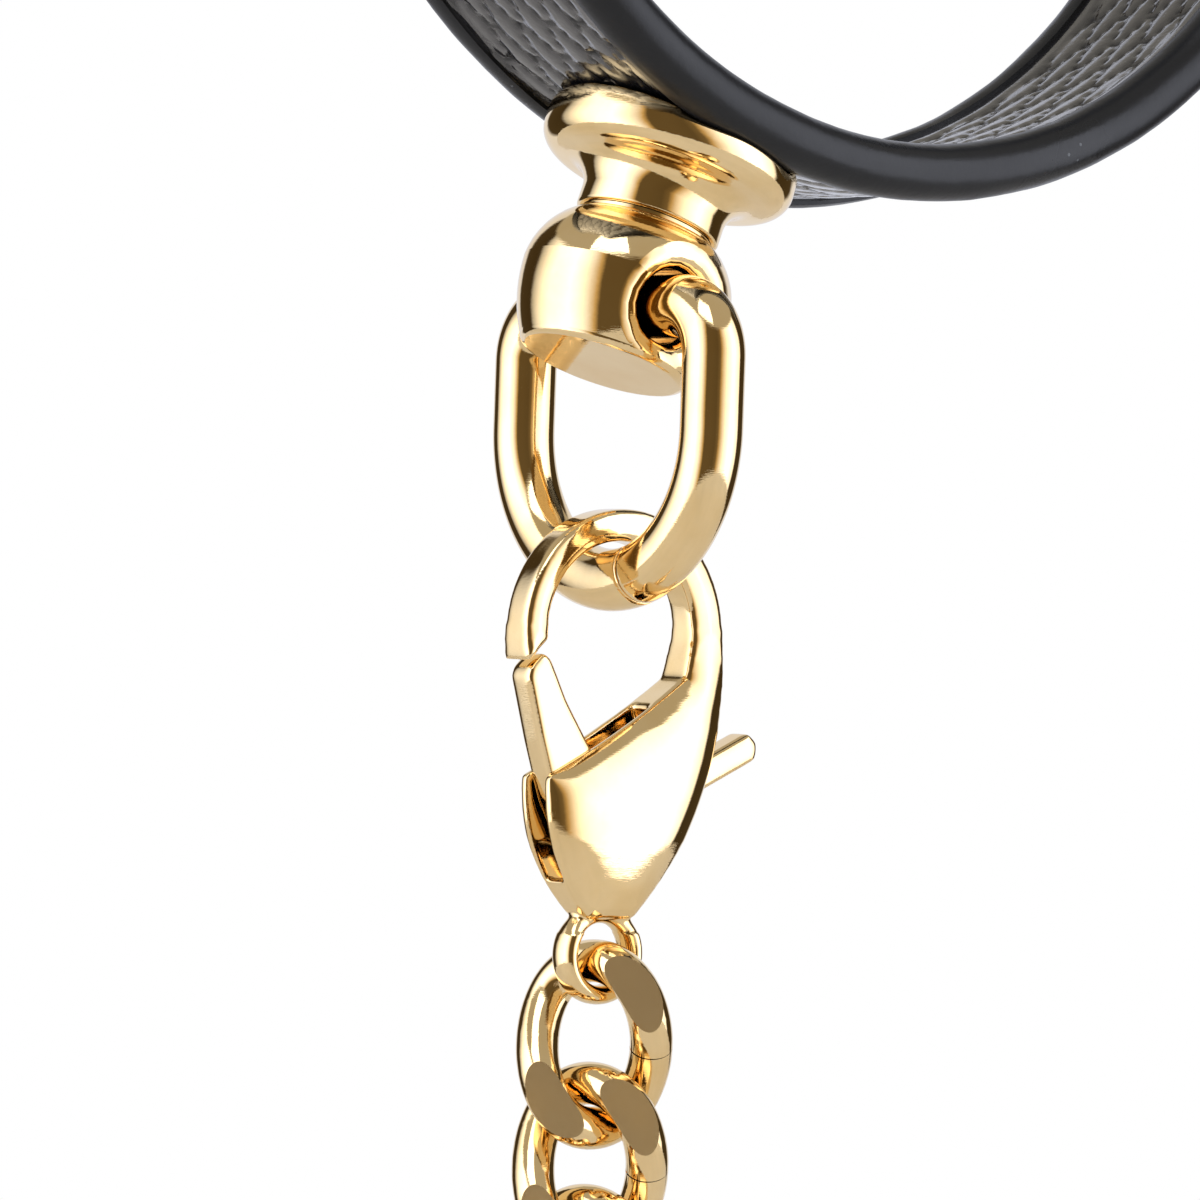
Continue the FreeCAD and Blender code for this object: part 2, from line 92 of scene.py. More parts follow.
def handled_surface():
    """Soft smears, fine specks and a shallow ripple, which every finish has in its own measure."""
    group, start, end = node_group(
        "handled_surface",
        [("Vector", "NodeSocketVector", (0, 0, 0)), ("Smear Scale", "NodeSocketFloat", 90.0),
         ("Speck Scale", "NodeSocketFloat", 2600.0), ("Speck Share", "NodeSocketFloat", 0.3)],
        [("Smear", "NodeSocketFloat"), ("Speck", "NodeSocketFloat"),
         ("Ripple", "NodeSocketFloat")])
    place = start.outputs["Vector"]
    smear = add_node(group, "ShaderNodeTexNoise", Vector=place, Scale=start.outputs["Smear Scale"],
                     Detail=4.0, Roughness=0.55)
    soft = add_node(group, "ShaderNodeMapRange", Value=smear.outputs["Fac"], From_Min=0.35,
                    From_Max=0.7)
    speck = add_node(group, "ShaderNodeTexVoronoi", Vector=place, Scale=start.outputs["Speck Scale"])
    near = add_node(group, "ShaderNodeMath", {"operation": "LESS_THAN"},
                    n0=speck.outputs["Distance"], n1=0.16)
    pick = add_node(group, "ShaderNodeTexNoise", Vector=place, Scale=start.outputs["Smear Scale"],
                    Detail=2.0)
    few = add_node(group, "ShaderNodeMath", {"operation": "LESS_THAN"},
                   n0=pick.outputs["Fac"], n1=start.outputs["Speck Share"])
    speckle = add_node(group, "ShaderNodeMath", {"operation": "MULTIPLY"},
                       n0=near.outputs[0], n1=few.outputs[0])
    ripple = add_node(group, "ShaderNodeTexNoise", Vector=place, Scale=340.0, Detail=3.0)
    for label, source in (("Smear", soft.outputs["Result"]), ("Speck", speckle.outputs[0]),
                          ("Ripple", ripple.outputs["Fac"])):
        group.links.new(source, end.inputs[label])
    return group


HANDLED = handled_surface()


def new_finish(name, **sockets):
    """A material with one Principled shader whose plain values are set on its own sockets."""
    finish = bpy.data.materials.new(name)
    finish.use_nodes = True
    shader = finish.node_tree.nodes["Principled BSDF"]
    for label, value in sockets.items():
        shader.inputs[label.replace("_", " ")].default_value = value
    return finish, finish.node_tree, shader


def handling(tree, vector, **values):
    """The handled surface on a finish, at this finish's own scale."""
    return add_node(tree, "ShaderNodeGroup", {"node_tree": HANDLED}, Vector=vector, **values)


def two_tone(tree, mask, first, second):
    mixed = add_node(tree, "ShaderNodeMix", {"data_type": "RGBA"}, Factor=mask)
    mixed.inputs["A"].default_value = (*first, 1)
    mixed.inputs["B"].default_value = (*second, 1)
    return mixed.outputs["Result"]


def spread(tree, value, low, high):
    ranged = add_node(tree, "ShaderNodeMapRange", Value=value, To_Min=low, To_Max=high)
    return ranged.outputs["Result"]


def embossed_leather():
    finish, tree, shader = new_finish("embossed_patent_leather", Coat_Roughness=0.05, Coat_IOR=1.9,
                                      IOR=1.45)
    place = add_node(tree, "ShaderNodeTexCoord").outputs["Object"]
    crease_shade = add_node(tree, "ShaderNodeAttribute", {"attribute_name": "crease_shade"}).outputs["Fac"]
    wear = handling(tree, place, Smear_Scale=160.0, Speck_Scale=1800.0, Speck_Share=0.36)
    # Painted shade: the base colour goes darker along the creases where the scales meet. The coat
    # also fades and the roughness rises there.
    tree.links.new(two_tone(tree, crease_shade, (0.010, 0.010, 0.012), (0.002, 0.002, 0.002)),
                   shader.inputs["Base Color"])
    tree.links.new(spread(tree, crease_shade, 0.85, 0.0), shader.inputs["Coat Weight"])
    rough = add_node(tree, "ShaderNodeMath", {"operation": "MULTIPLY_ADD"}, n0=crease_shade, n1=0.6,
                     n2=spread(tree, wear.outputs["Smear"], 0.08, 0.20))
    tree.links.new(rough.outputs[0], shader.inputs["Roughness"])
    pores = add_node(tree, "ShaderNodeTexNoise", Vector=place, Scale=3800.0, Detail=2.0)
    folds = add_node(tree, "ShaderNodeTexNoise", Vector=place, Scale=900.0, Detail=4.0,
                     Distortion=0.6)
    grain = add_node(tree, "ShaderNodeMath", {"operation": "MULTIPLY_ADD"}, n0=folds.outputs["Fac"],
                     n1=2.2, n2=pores.outputs["Fac"])
    bump = add_node(tree, "ShaderNodeBump", Strength=0.4, Distance=0.00006,
                    Height=grain.outputs[0])
    tree.links.new(bump.outputs["Normal"], shader.inputs["Normal"])
    return finish


def section_face(bm, corners, rounds=None):
    """A flat section in the XZ plane through a few corners, chosen ones rounded with the bevel."""
    verts = [bm.verts.new((x * MM, 0, z * MM)) for x, z in corners]
    bm.faces.new(verts)
    for index, (offset, steps) in (rounds or {}).items():
        bmesh.ops.bevel(bm, geom=[verts[index]], offset=offset * MM, segments=steps, profile=0.5,
                        affect="VERTICES", material=-1, clamp_overlap=True)


def spin_section(bm, axis, steps):
    """Turns the section's outline right round and closes it into a skin that faces outwards."""
    outline = [edge for edge in bm.edges if len(edge.link_faces) == 1]
    bmesh.ops.delete(bm, geom=list(bm.faces), context="FACES_ONLY")
    verts = list({vert for edge in outline for vert in edge.verts})
    bmesh.ops.spin(bm, geom=verts + outline, cent=(0, 0, 0), axis=axis, angle=2 * math.pi,
                   steps=steps, use_merge=True, use_duplicate=False)
    bmesh.ops.remove_doubles(bm, verts=bm.verts, dist=MERGE)
    bmesh.ops.recalc_face_normals(bm, faces=bm.faces)


def place_piece(name, bm, body, finish, nodes, crisp=40.0):
    """The finished mesh as a piece that rides with its body and stands for its CAD nodes."""
    mesh = bpy.data.meshes.new(name)
    bm.to_mesh(mesh)
    bm.free()
    mesh.shade_smooth()
    mesh.set_sharp_from_angle(angle=math.radians(crisp))
    mesh.materials.append(finish)
    piece = bpy.data.objects.new(name, mesh)
    bpy.context.scene.collection.objects.link(piece)
    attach(piece, body)
    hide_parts(*nodes)
    return piece


def scale_height(around, across):
    """How high the embossing stands here, 0 to 1, and how near the line where two scales meet."""
    best = second = 0.0
    half_row = SCALE_WIDE / 2
    nearest = round(across / half_row)
    for row in (nearest - 1, nearest, nearest + 1):
        shift = 0.5 * (row % 2)
        column = round(around - shift)
        for number in (column - 1, column, column + 1):
            drift = noise.noise(Vector((3.1 * (number % SCALE_COUNT), 2.3 * row, 0.5)))
            run = (around - number - shift - 0.07 * drift) / SCALE_REACH
            side = (across - row * half_row - 0.10 * drift) / (SCALE_SPREAD * SCALE_WIDE)
            reach = 1 - run * run - side * side
            if reach > 0:
                stands = (0.66 + 0.06 * drift) * math.sqrt(reach) + SCALE_TILT * (1 - run)
                second = max(second, min(best, stands))
                best = max(best, stands)
    meeting = max(0.0, 1 - (best - second) / MEETING_WIDE)
    return min(1.0, best - MEETING_DEEP * meeting), meeting


def leather_strip(name, face, back, nodes, bare):
    """A spun strip with scales pressed into its show face. bare is the plain border at each side."""
    towards = 1 if face > back else -1
    bm = bmesh.new()
    strip = [bm.verts.new((face * MM, STRAP_HALF * MM * (2 * step / ACROSS_STEPS - 1), 0))
             for step in range(ACROSS_STEPS + 1)]
    strip += [bm.verts.new((back * MM, side * STRAP_HALF * MM, 0)) for side in (1, -1)]
    bm.faces.new(strip)
    spin_section(bm, (0, 1, 0), AROUND_STEPS)
    crease_shade = bm.verts.layers.float.new("crease_shade")
    for vert in bm.verts:
        radius = math.hypot(vert.co.x, vert.co.z) / MM
        if abs(radius - face) > 0.01:
            continue
        across = vert.co.y / MM
        around = math.atan2(vert.co.z, vert.co.x) / (2 * math.pi) * SCALE_COUNT
        inwards = (STRAP_HALF - bare - abs(across)) / PRESS_FADE
        share = min(1.0, max(0.0, inwards))
        height, meeting = scale_height(around, across)
        # This mask marks the creases between the scales, where the finish paints shade into the
        # leather's colour.
        vert[crease_shade] = share * meeting
        dip = share * SCALE_RELIEF * (1 - height)
        vert.co *= Vector((1 - towards * dip / radius, 1, 1 - towards * dip / radius))
    return place_piece(name, bm, "wrist_band", LEATHER, nodes, crisp=60.0)


LEATHER = embossed_leather()
leather_strip("outer_scaled_leather", LEATHER_OUTSIDE, LEATHER_INSIDE, ["outer_leather"],
              0.0)
leather_strip("inner_scaled_leather", LINING_INSIDE, LINING_OUTSIDE, ["lining_leather"],
              1.0)

# ---------------------------------------------------------------- painted edges
# Each side of the band is built up with coats of black edge paint to a thick round bead. It is
# satin, a little uneven from the hand work, and holds fine dust.

BEAD_RING, BEAD_CENTRE, BEAD_WIRE = 34.5, 6.6, 1.7
WAVE, RIPPLE = (0.05, 260), (0.02, 900)  # how far the paint wanders, and how often


def edge_paint():
    finish, tree, shader = new_finish("satin_edge_paint", IOR=1.38)
    place = add_node(tree, "ShaderNodeTexCoord").outputs["Object"]
    wear = handling(tree, place, Smear_Scale=120.0, Speck_Scale=1500.0, Speck_Share=0.37)
    tree.links.new(two_tone(tree, wear.outputs["Speck"], (0.011, 0.012, 0.014), (0.10, 0.11, 0.12)),
                   shader.inputs["Base Color"])
    tree.links.new(spread(tree, wear.outputs["Smear"], 0.24, 0.38), shader.inputs["Roughness"])
    skin = add_node(tree, "ShaderNodeTexNoise", Vector=place, Scale=2600.0, Detail=3.0)
    level = add_node(tree, "ShaderNodeMath", {"operation": "MULTIPLY_ADD"},
                     n0=wear.outputs["Ripple"], n1=3.0, n2=skin.outputs["Fac"])
    bump = add_node(tree, "ShaderNodeBump", Strength=0.35, Distance=0.00004,
                    Height=level.outputs[0])
    tree.links.new(bump.outputs["Normal"], shader.inputs["Normal"])
    return finish


EDGE_PAINT = edge_paint()
for side, node in ((-1, "front_edge_binding"), (1, "rear_edge_binding")):
    bm = bmesh.new()
    bmesh.ops.create_circle(bm, cap_ends=True, radius=BEAD_WIRE * MM, segments=40)
    bmesh.ops.translate(bm, verts=bm.verts, vec=(BEAD_RING * MM, side * BEAD_CENTRE * MM, 0))
    bmesh.ops.bisect_plane(bm, geom=list(bm.verts) + list(bm.edges) + list(bm.faces),
                           plane_co=(0, side * STRAP_HALF * MM, 0), plane_no=(0, side, 0),
                           clear_inner=True, clear_outer=False)
    spin_section(bm, (0, 1, 0), 360)
    for vert in bm.verts:
        if abs(vert.co.y) > (STRAP_HALF + 0.05) * MM:
            out = Vector((vert.co.x, 0, vert.co.z)).normalized() * BEAD_RING * MM
            out.y = side * BEAD_CENTRE * MM
            wave = sum(far * noise.noise(vert.co * often) for far, often in (WAVE, RIPPLE))
            vert.co += (vert.co - out).normalized() * wave * MM
    place_piece(node.replace("binding", "paint"), bm, "wrist_band", EDGE_PAINT,
                [node])

# ---------------------------------------------------------------- stiffener
# A strip of compressed leather board between the two leathers, which keeps the loop round. It is
# closed in all round, so only its finish matters if the band is opened.


def fibre_board():
    finish, tree, shader = new_finish("fibre_board", IOR=1.45)
    place = add_node(tree, "ShaderNodeTexCoord").outputs["Object"]
    wear = handling(tree, place, Smear_Scale=300.0, Speck_Scale=1400.0, Speck_Share=0.5)
    tree.links.new(two_tone(tree, wear.outputs["Smear"], (0.12, 0.08, 0.05), (0.20, 0.14, 0.09)),
                   shader.inputs["Base Color"])
    tree.links.new(spread(tree, wear.outputs["Smear"], 0.75, 0.95), shader.inputs["Roughness"])
    bump = add_node(tree, "ShaderNodeBump", Strength=0.5, Distance=0.00005,
                    Height=wear.outputs["Ripple"])
    tree.links.new(bump.outputs["Normal"], shader.inputs["Normal"])
    return finish


def refinish(finish, *nodes):
    """Gives CAD nodes that keep their shape their finish."""
    for name in nodes:
        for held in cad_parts[name].material_slots:
            held.material = finish


refinish(fibre_board(), "band_core")

# ---------------------------------------------------------------- plate, screws and rivet
# The hidden hardware is plain drawn steel: a curved plate and two screws that hold the stud from
# inside the band, and the headed rivet that the barrel hangs and turns on.


def drawn_steel():
    finish, tree, shader = new_finish("drawn_steel", Metallic=1.0)
    place = add_node(tree, "ShaderNodeTexCoord").outputs["Object"]
    wear = handling(tree, place, Smear_Scale=420.0, Speck_Scale=3000.0, Speck_Share=0.4)
    tree.links.new(two_tone(tree, wear.outputs["Smear"], (0.62, 0.62, 0.64), (0.48, 0.47, 0.47)),
                   shader.inputs["Base Color"])
    tree.links.new(spread(tree, wear.outputs["Smear"], 0.22, 0.38), shader.inputs["Roughness"])
    bump = add_node(tree, "ShaderNodeBump", Strength=0.2, Distance=0.00002,
                    Height=wear.outputs["Ripple"])
    tree.links.new(bump.outputs["Normal"], shader.inputs["Normal"])
    return finish


STEEL = drawn_steel()
refinish(STEEL, "backing_plate", "fixing_screws", "swivel_rivet")

# ---------------------------------------------------------------- stud base and swivel barrel
# A turned brass mushroom that sits saddle-fashion on the band, a washer, and below them a turned
# barrel with a cross-hole flared at both mouths. All are polished and gold plated, and the barrel
# turns on the rivet.

STUD_TILT = Matrix.Rotation(math.radians(20.0), 4, "Y")
CHAIN_TURN = math.radians(38.0)
CHAIN_FACE = Vector((math.sin(CHAIN_TURN), math.cos(CHAIN_TURN), 0))  # square to the planed flats


def gold_plate(name, dull):
    """Polished plate. dull is how much the flats planed on the chain lose of the polish."""
    finish, tree, shader = new_finish(name, Metallic=1.0)
    spots = add_node(tree, "ShaderNodeTexCoord")
    place = spots.outputs["Object"]
    wear = handling(tree, place, Smear_Scale=210.0, Speck_Scale=3400.0, Speck_Share=0.33)
    tree.links.new(two_tone(tree, wear.outputs["Smear"], (0.96, 0.74, 0.41), (0.90, 0.65, 0.31)),
                   shader.inputs["Base Color"])
    rough = spread(tree, wear.outputs["Smear"], 0.035, 0.085)
    if dull:
        facing = add_node(tree, "ShaderNodeVectorMath", {"operation": "DOT_PRODUCT"},
                          n0=spots.outputs["Normal"], n1=CHAIN_FACE).outputs["Value"]
        size = add_node(tree, "ShaderNodeMath", {"operation": "ABSOLUTE"}, n0=facing).outputs[0]
        flat = add_node(tree, "ShaderNodeMapRange", Value=size, From_Min=0.990, From_Max=0.998)
        rough = add_node(tree, "ShaderNodeMath", {"operation": "MULTIPLY_ADD"},
                         n0=flat.outputs["Result"], n1=dull, n2=rough).outputs[0]
    tree.links.new(rough, shader.inputs["Roughness"])
    scratch = add_node(tree, "ShaderNodeMapping", Vector=place, Scale=(1.0, 1.0, 9.0))
    lines = add_node(tree, "ShaderNodeTexNoise", Vector=scratch.outputs["Vector"], Scale=2100.0,
                     Detail=2.0)
    level = add_node(tree, "ShaderNodeMath", {"operation": "MULTIPLY_ADD"},
                     n0=wear.outputs["Ripple"], n1=6.0, n2=lines.outputs["Fac"])
    bump = add_node(tree, "ShaderNodeBump", Strength=0.12, Distance=0.00002,
                    Height=level.outputs[0])
    tree.links.new(bump.outputs["Normal"], shader.inputs["Normal"])
    return finish


GOLD = gold_plate("gold_plate", 0.0)
SADDLE_TOP, RIM_TOP = 35.5, 36.9
CAVITY_HALF, SEAT_GAP = 3.1, 0.03

bm = bmesh.new()
section_face(bm, [(3.2, -35.5), (4.6, -35.5), (5.9, -35.5), (6.6, -35.5), (7.6, -35.5),
                  (7.6, -37.95), (4.3, -38.3), (4.3, -41.0), (1.55, -41.0), (1.55, -38.7),
                  (3.2, -38.7)],
             {4: (0.55, 5), 5: (1.25, 8), 6: (1.5, 8), 7: (0.2, 3)})
spin_section(bm, (0, 0, 1), 160)
for vert in bm.verts:
    x, y, drop = vert.co.x / MM, abs(vert.co.y) / MM, -vert.co.z / MM
    if drop >= RIM_TOP or math.hypot(x, y) < CAVITY_HALF:
        continue
    seat = LEATHER_OUTSIDE
    if y > STRAP_HALF:
        seat = max(seat, BEAD_RING + math.sqrt(BEAD_WIRE**2 - (y - BEAD_CENTRE)**2))
    rise = math.sqrt(seat**2 - x**2) + SEAT_GAP - SADDLE_TOP
    vert.co.z -= rise * (RIM_TOP - drop) / (RIM_TOP - SADDLE_TOP) * MM
bmesh.ops.transform(bm, verts=bm.verts, matrix=STUD_TILT)
place_piece("turned_stud_base", bm, "wrist_band", GOLD, ["stud_base"],
            crisp=50.0)
refinish(GOLD, "swivel_barrel", "swivel_washer")

# ---------------------------------------------------------------- ring
# Round brass wire bent to a D and closed with a butt joint low on the belly, then plated. Its
# straight bar lies in the barrel's cross-hole.

WIRE, RING_HALF, KNEE, LEG = 1.82, 8.8, 3.0, 4.0
RING_X, BAR_Z = -15.767, -43.320
BELLY_Z = BAR_Z - KNEE - LEG
JOINT_AT = 18.0  # degrees round the belly from its lowest point, towards the front
JOINT_GAP = 0.35  # degrees
JOINT_BEVEL = 0.09


def edges_and_verts(items):
    return [item for item in items if isinstance(item, (bmesh.types.BMEdge, bmesh.types.BMVert))]


def bend_wire(bm, end, y, z, degrees, steps):
    """Bends the wire on from its open end, round a line across the ring."""
    made = bmesh.ops.spin(bm, geom=end, cent=(RING_X * MM, y * MM, z * MM), axis=(1, 0, 0),
                          angle=math.radians(degrees), steps=steps, use_merge=False,
                          use_duplicate=False)
    return edges_and_verts(made["geom_last"])


def run_wire(bm, end, dy, dz, steps):
    for _ in range(steps):
        rim = [item for item in end if isinstance(item, bmesh.types.BMEdge)]
        made = bmesh.ops.extrude_edge_only(bm, edges=rim)
        end = edges_and_verts(made["geom"])
        bmesh.ops.translate(bm, verts=[v for v in end if isinstance(v, bmesh.types.BMVert)],
                            vec=(0, dy * MM / steps, dz * MM / steps))
    return end


bm = bmesh.new()
bmesh.ops.create_circle(bm, cap_ends=False, radius=WIRE * MM, segments=48)
tilt = Matrix.Rotation(math.radians(-JOINT_AT), 4, "X")
tilt = tilt @ Matrix.Translation((0, 0, -RING_HALF * MM))
stand = Matrix.Rotation(math.radians(90.0), 4, "X")
bmesh.ops.transform(bm, verts=bm.verts,
                    matrix=Matrix.Translation((RING_X * MM, 0, BELLY_Z * MM)) @ tilt @ stand)
first_end = list(bm.edges)
end = edges_and_verts(list(bm.verts) + first_end)
end = bend_wire(bm, end, 0, BELLY_Z, -(90 - JOINT_AT), 40)
end = run_wire(bm, end, 0, LEG, 4)
end = bend_wire(bm, end, -(RING_HALF - KNEE), BAR_Z - KNEE, -90, 28)
end = run_wire(bm, end, 2 * (RING_HALF - KNEE), 0, 6)
end = bend_wire(bm, end, RING_HALF - KNEE, BAR_Z - KNEE, -90, 28)
end = run_wire(bm, end, 0, -LEG, 4)
end = bend_wire(bm, end, 0, BELLY_Z, -(90 + JOINT_AT - JOINT_GAP), 56)
last_end = [edge for edge in end if isinstance(edge, bmesh.types.BMEdge)]
for rim in (first_end, last_end):
    bmesh.ops.contextual_create(bm, geom=rim)
caps = [edge for edge in bm.edges if any(len(face.verts) > 4 for face in edge.link_faces)]
bmesh.ops.bevel(bm, geom=caps, offset=JOINT_BEVEL * MM, segments=2, profile=0.5,
                affect="EDGES", material=-1)
bmesh.ops.recalc_face_normals(bm, faces=bm.faces)
place_piece("bent_wire_ring", bm, "ring", GOLD, ["d_ring"])

# ---------------------------------------------------------------- clasp body and thumb lever
# Zinc castings, tumbled so that every edge is soft, then polished and plated. The lever sits in
# the body's slot on its pin, closes the hook's throat and has a thumb tab behind the spine.

BODY_GRAIN, BODY_PASSES = 0.12, 24
LEVER_GRAIN, LEVER_PASSES = 0.08, 60
EYE_TOP = -79.6 * MM
EYE_PASSES = 8  # the wire of the eye is fine, so it is worn less


def tumbled(nodes, grain, passes):
    """The casting's shape on a fine even skin, its edges then worn round."""
    bm = bmesh.new()
    for node in nodes:
        bm.from_mesh(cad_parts[node].data)
    bmesh.ops.remove_doubles(bm, verts=bm.verts, dist=MERGE)
    mesh = bpy.data.meshes.new("casting")
    bm.to_mesh(mesh)
    holder = bpy.data.objects.new("casting", mesh)
    bpy.context.scene.collection.objects.link(holder)
    skin = holder.modifiers.new("skin", "REMESH")
    skin.mode = "VOXEL"
    skin.voxel_size = grain * MM
    graph = bpy.context.evaluated_depsgraph_get()
    shape = bpy.data.meshes.new_from_object(holder.evaluated_get(graph))
    bpy.data.objects.remove(holder)
    bm.clear()
    bm.from_mesh(shape)
    for turn in range(passes):
        worn = [vert for vert in bm.verts if vert.co.z > EYE_TOP or turn < EYE_PASSES]
        bmesh.ops.smooth_vert(bm, verts=worn, factor=0.5, use_axis_x=True, use_axis_y=True,
                              use_axis_z=True)
    return bm


SIDE_REACH = 1.3 * MM  # a side wall of the casting stands at least this far from its middle plane
ROLL_WIDE = 2.1 * MM
HOOK_ROLL, BLADE_ROLL = 0.16, 0.36
HOOK_FOOT, BLADE_HEAD = -62.0 * MM, -66.5 * MM
PIN_AXIS, PIN_CLEAR = Vector((-16.767, 0, -73.12)) * MM, 0.9 * MM
WALL_LEAN = 0.2  # a wall's normal leans from square by less than this
FACE_PASSES = 90


def side_walls(node):
    """The walls of the casting that stand square to its two flat faces."""
    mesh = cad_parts[node].data
    points = [vert.co for vert in mesh.vertices]
    walls = [tuple(face.vertices) for face in mesh.polygons if abs(face.normal.y) < WALL_LEAN
             and max(abs(points[corner].y) for corner in face.vertices) > SIDE_REACH
             and (Vector((face.center.x, 0, face.center.z)) - PIN_AXIS).length > PIN_CLEAR]
    return BVHTree.FromPolygons(points, walls)


bm = tumbled(["clasp_body", "gate_pin"], BODY_GRAIN, BODY_PASSES)
walls = side_walls("clasp_body")
for vert in bm.verts:
    if vert.co.z > EYE_TOP:
        away = min(1.0, walls.find_nearest(vert.co)[3] / ROLL_WIDE)
        low = min(1.0, max(0.0, (HOOK_FOOT - vert.co.z) / (HOOK_FOOT - BLADE_HEAD)))
        roll = HOOK_ROLL + (BLADE_ROLL - HOOK_ROLL) * low
        vert.co.y *= 1 - roll * (1 - away)**2
faces = [vert for vert in bm.verts
         if abs(vert.co.y) > SIDE_REACH and HOOK_FOOT > vert.co.z > EYE_TOP]
for _ in range(FACE_PASSES):
    bmesh.ops.smooth_vert(bm, verts=faces, factor=0.5, use_axis_x=False, use_axis_y=True,
                          use_axis_z=False)
place_piece("cast_clasp_body", bm, "clasp", GOLD, ["clasp_body", "gate_pin"],
            crisp=80.0)
place_piece("cast_thumb_lever", tumbled(["gate_lever"], LEVER_GRAIN, LEVER_PASSES), "gate",
            GOLD, ["gate_lever"], crisp=80.0)

# ---------------------------------------------------------------- lever spring
# Hard-drawn steel wire bent once. Its foot lies in the clasp's slot and its arm presses the lever
# shut.
# On the real clasp it gives as the thumb opens the lever; here it rides unbent with the clasp.

bm = bmesh.new()
bm.from_mesh(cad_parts["gate_spring"].data)
bmesh.ops.remove_doubles(bm, verts=bm.verts, dist=MERGE)
spring = place_piece("bent_wire_spring", bm, "clasp", STEEL, ["gate_spring"])
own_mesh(spring)

# ---------------------------------------------------------------- curb chain
# Eight oval links of brass wire, each twisted so that it lies flat with its neighbours, planed
# on both faces with a diamond tool and plated. Each is closed with a soldered butt joint.

LINKS = 8
CHAIN_GOLD = gold_plate("cut_chain_gold", 0.30)
refinish(CHAIN_GOLD, *[f"chain_link_{number:02d}" for number in range(1, LINKS + 1)])

# ---------------------------------------------------------------- key ring
# A split ring coiled nearly twice round from hard wire, threaded through the last link, plated.

refinish(GOLD, "key_ring")

# ---------------------------------------------------------------- floor, light and camera
# The wristlet hangs over a round pale floor, in a dim room with a large soft box on each side, a
# window overhead and light from below. The camera is level, with a long lens, and leans a little.

CAMERA_TURN = -38.0
AIM = Vector((-16.8, -0.4, -60.3)) * MM
DISTANCE, FRAME_WIDE = 0.350, 0.0694
CAMERA_LEAN = 2.0
SENSOR = 36.0
FLOOR_RADIUS, FLOOR_AT = 0.30, (-0.012, 0, -0.175)
back = Vector((math.sin(math.radians(CAMERA_TURN)), -math.cos(math.radians(CAMERA_TURN)), 0))
right = Vector((-back.y, back.x, 0))

bm = bmesh.new()
bmesh.ops.create_circle(bm, cap_ends=True, radius=FLOOR_RADIUS, segments=96)
bmesh.ops.translate(bm, verts=bm.verts, vec=FLOOR_AT)
floor_mesh = bpy.data.meshes.new("floor")
bm.to_mesh(floor_mesh)
bm.free()
floor_finish, tree, shader = new_finish("pale_floor", IOR=1.45)
place = add_node(tree, "ShaderNodeTexCoord").outputs["Object"]
wear = handling(tree, place, Smear_Scale=14.0, Speck_Scale=400.0, Speck_Share=0.2)
tree.links.new(two_tone(tree, wear.outputs["Smear"], (0.88, 0.86, 0.82), (0.82, 0.80, 0.76)),
               shader.inputs["Base Color"])
tree.links.new(spread(tree, wear.outputs["Smear"], 0.5, 0.65), shader.inputs["Roughness"])
floor_mesh.materials.append(floor_finish)
floor = bpy.data.objects.new("floor", floor_mesh)
bpy.context.scene.collection.objects.link(floor)

room = bpy.data.worlds.new("room")
bpy.context.scene.world = room
room.use_nodes = True
tree = room.node_tree
tree.nodes.clear()
way = add_node(tree, "ShaderNodeTexCoord").outputs["Generated"]
ahead = add_node(tree, "ShaderNodeVectorMath", {"operation": "DOT_PRODUCT"}, n0=way, n1=back)
aside = add_node(tree, "ShaderNodeVectorMath", {"operation": "DOT_PRODUCT"}, n0=way, n1=right)
turned = add_node(tree, "ShaderNodeMath", {"operation": "ARCTAN2"}, n0=aside.outputs["Value"],
                  n1=ahead.outputs["Value"])
share = add_node(tree, "ShaderNodeMapRange", Value=turned.outputs[0], From_Min=-math.pi,
                 From_Max=math.pi)
walls = add_node(tree, "ShaderNodeValToRGB", Fac=share.outputs["Result"])
# (degrees from the camera, positive to its right; brightness)
WALLS = [(-180, 0.9), (-152, 0.9), (-147, 0.05), (-120, 0.04), (-115, 0.6), (-88, 2.3),
         (-60, 2.8), (-38, 1.2), (-29, 0.5), (-24, 0.10), (-6, 0.10), (14, 0.09), (24, 0.14),
         (30, 0.45), (52, 1.7), (78, 3.0), (106, 1.5), (111, 0.04), (144, 0.05), (151, 0.9),
         (180, 0.9)]
SOFT_BOX, DARK_ROOM = (0.90, 0.92, 1.02), (1.25, 0.88, 0.42)
CEILING, WINDOW, BELOW = (0.46, 0.43, 0.38, 1), (2.6, 2.65, 2.9, 1), (2.2, 2.25, 2.4, 1)
WINDOW_TURN, WINDOW_HALF = math.radians(-22), math.radians(27)
WINDOW_HIGH, WINDOW_TALL = 0.81, 0.13
ramp = walls.color_ramp
while len(ramp.elements) < len(WALLS):
    ramp.elements.new(0.5)
for stop, (degrees, level) in zip(ramp.elements, WALLS):
    stop.position = (degrees + 180) / 360
    tone = SOFT_BOX if level > 0.5 else DARK_ROOM
    stop.color = (*[level * part for part in tone], 1)
height = add_node(tree, "ShaderNodeSeparateXYZ", Vector=way).outputs["Z"]
upper = add_node(tree, "ShaderNodeMapRange", Value=height, From_Min=0.60, From_Max=0.64)
lid = add_node(tree, "ShaderNodeMix", {"data_type": "RGBA"}, Factor=upper.outputs["Result"])
tree.links.new(walls.outputs["Color"], lid.inputs["A"])
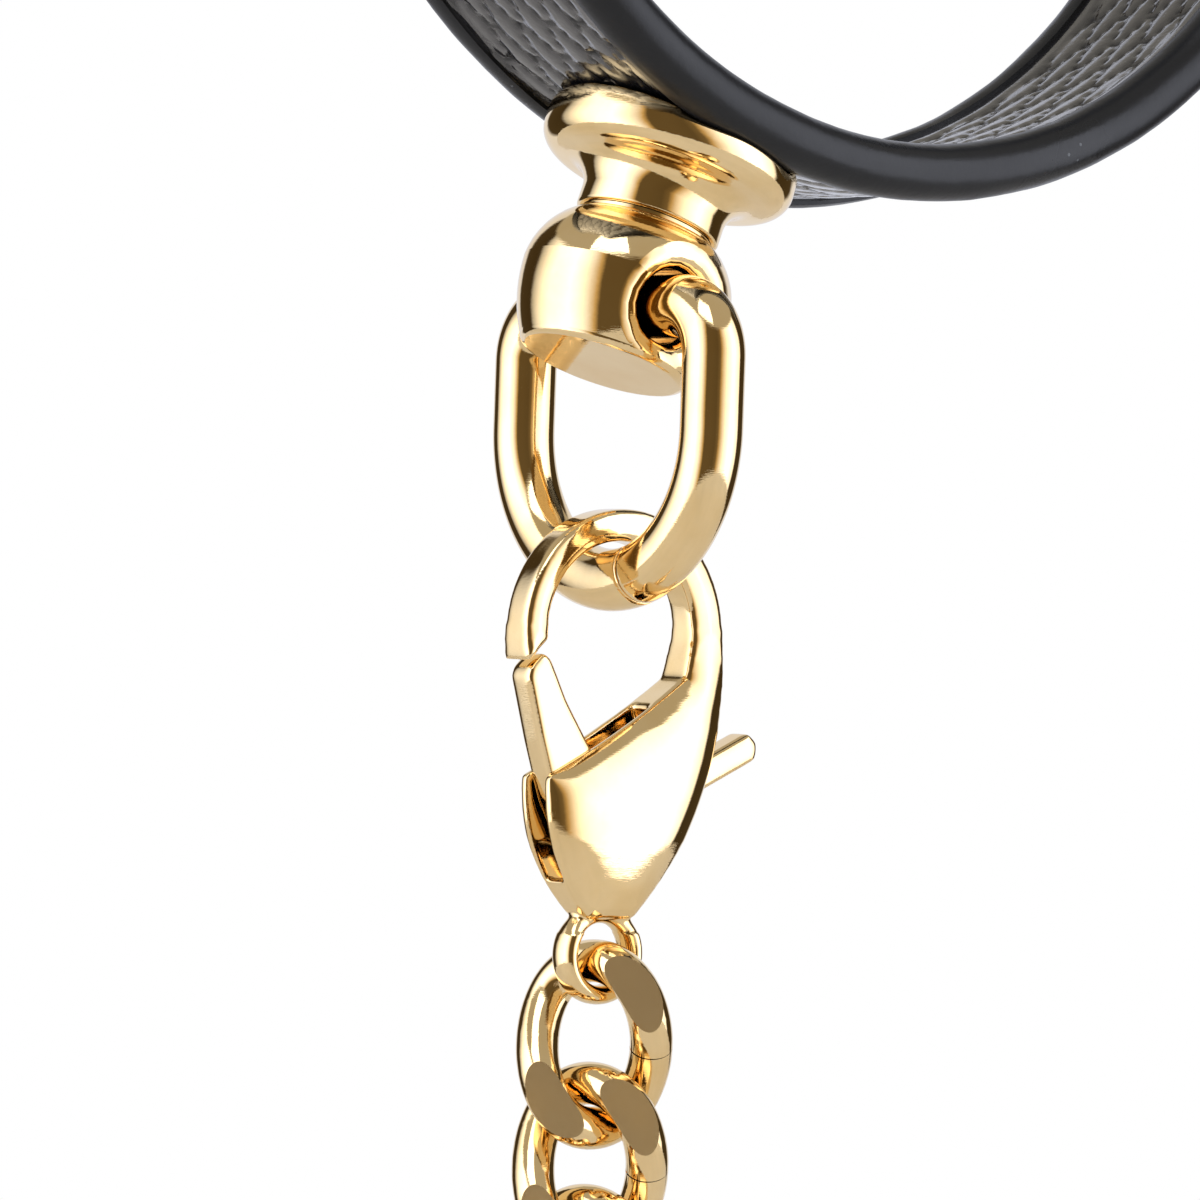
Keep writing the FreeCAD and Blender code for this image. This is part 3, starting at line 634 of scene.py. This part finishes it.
over_side = add_node(tree, "ShaderNodeMath", {"operation": "COMPARE"}, n0=turned.outputs[0],
                     n1=WINDOW_TURN, n2=WINDOW_HALF)
over_high = add_node(tree, "ShaderNodeMath", {"operation": "COMPARE"}, n0=height,
                     n1=WINDOW_HIGH, n2=WINDOW_TALL)
window = add_node(tree, "ShaderNodeMath", {"operation": "MULTIPLY"}, n0=over_side.outputs[0],
                  n1=over_high.outputs[0])
ceiling = add_node(tree, "ShaderNodeMix", {"data_type": "RGBA"}, Factor=window.outputs[0])
ceiling.inputs["A"].default_value = CEILING
ceiling.inputs["B"].default_value = WINDOW
tree.links.new(ceiling.outputs["Result"], lid.inputs["B"])
lower = add_node(tree, "ShaderNodeMapRange", {"interpolation_type": "SMOOTHSTEP"}, Value=height,
                 From_Min=-0.45, From_Max=-0.6)
base = add_node(tree, "ShaderNodeMix", {"data_type": "RGBA"}, Factor=lower.outputs["Result"])
tree.links.new(lid.outputs["Result"], base.inputs["A"])
base.inputs["B"].default_value = BELOW
seen = add_node(tree, "ShaderNodeLightPath").outputs["Is Camera Ray"]
shown = add_node(tree, "ShaderNodeMix", {"data_type": "RGBA"}, Factor=seen)
tree.links.new(base.outputs["Result"], shown.inputs["A"])
shown.inputs["B"].default_value = (1, 1, 1, 1)
sky = add_node(tree, "ShaderNodeBackground")
tree.links.new(shown.outputs["Result"], sky.inputs["Color"])
out = add_node(tree, "ShaderNodeOutputWorld")
tree.links.new(sky.outputs["Background"], out.inputs["Surface"])

camera = bpy.data.objects.new("camera", bpy.data.cameras.new("camera"))
bpy.context.scene.collection.objects.link(camera)
camera.data.sensor_width = SENSOR
camera.data.lens = SENSOR * DISTANCE / FRAME_WIDE
camera.data.clip_start, camera.data.clip_end = 0.01, 10.0
camera.location = AIM + back * DISTANCE
camera.rotation_mode = "QUATERNION"
lean = Quaternion((0, 0, 1), math.radians(CAMERA_LEAN))
camera.rotation_quaternion = back.to_track_quat("Z", "Y") @ lean
bpy.context.scene.camera = camera
bpy.context.scene.view_settings.view_transform = "Standard"
